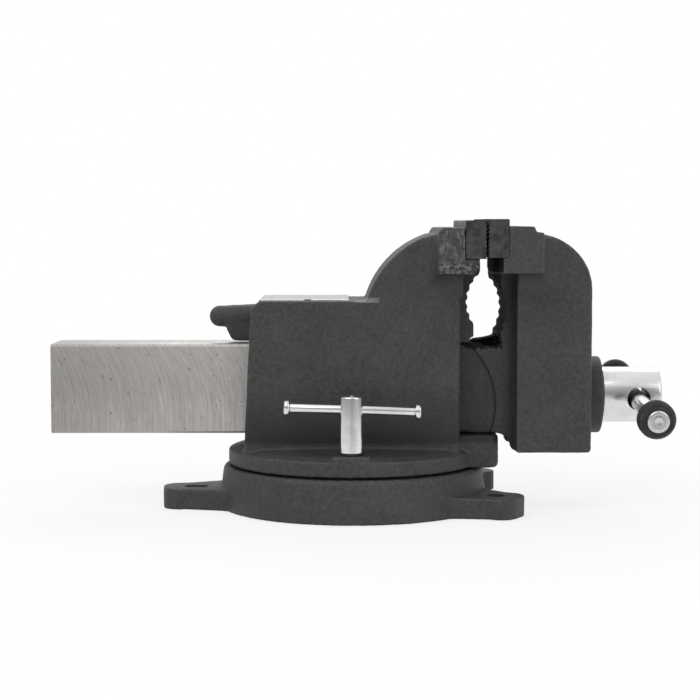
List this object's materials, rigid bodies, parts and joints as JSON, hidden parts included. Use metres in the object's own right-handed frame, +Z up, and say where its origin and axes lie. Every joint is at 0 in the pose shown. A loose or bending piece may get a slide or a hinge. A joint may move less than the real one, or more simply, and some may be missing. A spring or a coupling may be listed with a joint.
{
  "type": "bench vise",
  "caption": "Bench vise with swivel base, T-bar swivel locks, anvil with stub horn, serrated jaws over pipe jaws, square slide bar and sliding tommy-bar handle.",
  "frame": {"origin": "on the swivel axis at the underside of the base", "axes": "+X the way the front jaw opens, towards the handle; +Z up; +Y completes the right-handed frame, away from a viewer who sees the handle on the right"},
  "size_m": [0.4707, 0.2082, 0.2232],
  "materials": {
    "black_paint": "satin black enamel over a rough casting; the slide bar of the front casting is ground bare",
    "blackened_steel": "blackened hardened steel with serrations",
    "raw_iron": "as cast",
    "zinc_steel": "zinc plated",
    "spring_steel": "oiled spring wire",
    "plated_steel": "bright nickel plate, turned",
    "black_rubber": "matt, finely ribbed"
  },
  "bodies": {
    "base": {"swivel_base": "black_paint"},
    "upper": {"stationary_body": "black_paint", "rear_jaw_insert": "blackened_steel", "rear_insert_screws": "blackened_steel", "spindle_nut": "raw_iron", "nut_bolt": "zinc_steel", "nut_bolt_washer": "zinc_steel", "lock_bolts": "zinc_steel"},
    "near_nut": {"near_lock_nut": "plated_steel"},
    "near_bar": {"near_lock_bar": "plated_steel", "near_lock_knobs": "plated_steel"},
    "far_nut": {"far_lock_nut": "plated_steel"},
    "far_bar": {"far_lock_bar": "plated_steel", "far_lock_knobs": "plated_steel"},
    "front_jaw": {"dynamic_jaw": "black_paint", "front_jaw_insert": "blackened_steel", "front_insert_screws": "blackened_steel"},
    "screw": {"spindle": "plated_steel", "spindle_spring": "spring_steel", "retaining_collar": "zinc_steel", "collar_pin": "zinc_steel"},
    "handle": {"handle_bar": "plated_steel", "near_handle_cap": "plated_steel", "far_handle_cap": "plated_steel", "near_handle_ring": "black_rubber", "far_handle_ring": "black_rubber"}
  },
  "joints": [
    {"name": "base_swivel", "type": "hinge", "parent": "base", "child": "upper", "pos_m": [0, 0, 0.0333], "axis": [0, 0, 1], "continuous": true},
    {"name": "jaw_slide", "type": "slide", "parent": "upper", "child": "front_jaw", "axis": [1, 0, 0], "range_m": [-0.0009, 0.15]},
    {"name": "spindle_turn", "type": "hinge", "parent": "front_jaw", "child": "screw", "pos_m": [0.1933, 0, 0.0864], "axis": [1, 0, 0], "range_deg": [-54.5, 9000.5]},
    {"name": "handle_slide", "type": "slide", "parent": "screw", "child": "handle", "axis": [-0.0087, 0.9966, 0.0819], "range_m": [-0.065, 0.065]},
    {"name": "near_lock_turn", "type": "hinge", "parent": "upper", "child": "near_nut", "pos_m": [-0.0015, -0.084, 0.04956], "axis": [0, 0, 1], "range_deg": [-18, 18]},
    {"name": "near_bar_slide", "type": "slide", "parent": "near_nut", "child": "near_bar", "axis": [0.9996, 0, -0.0297], "range_m": [-0.0374, 0.0358]},
    {"name": "far_lock_turn", "type": "hinge", "parent": "upper", "child": "far_nut", "pos_m": [-0.0015, 0.084, 0.04956], "axis": [0, 0, 1], "range_deg": [-18, 18]},
    {"name": "far_bar_slide", "type": "slide", "parent": "far_nut", "child": "far_bar", "axis": [0.9996, 0, -0.0297], "range_m": [-0.0374, 0.0358]}
  ],
  "couplings": [
    {"joint": "spindle_turn", "follows": "jaw_slide", "rad_per_m": 1047.2}
  ]
}
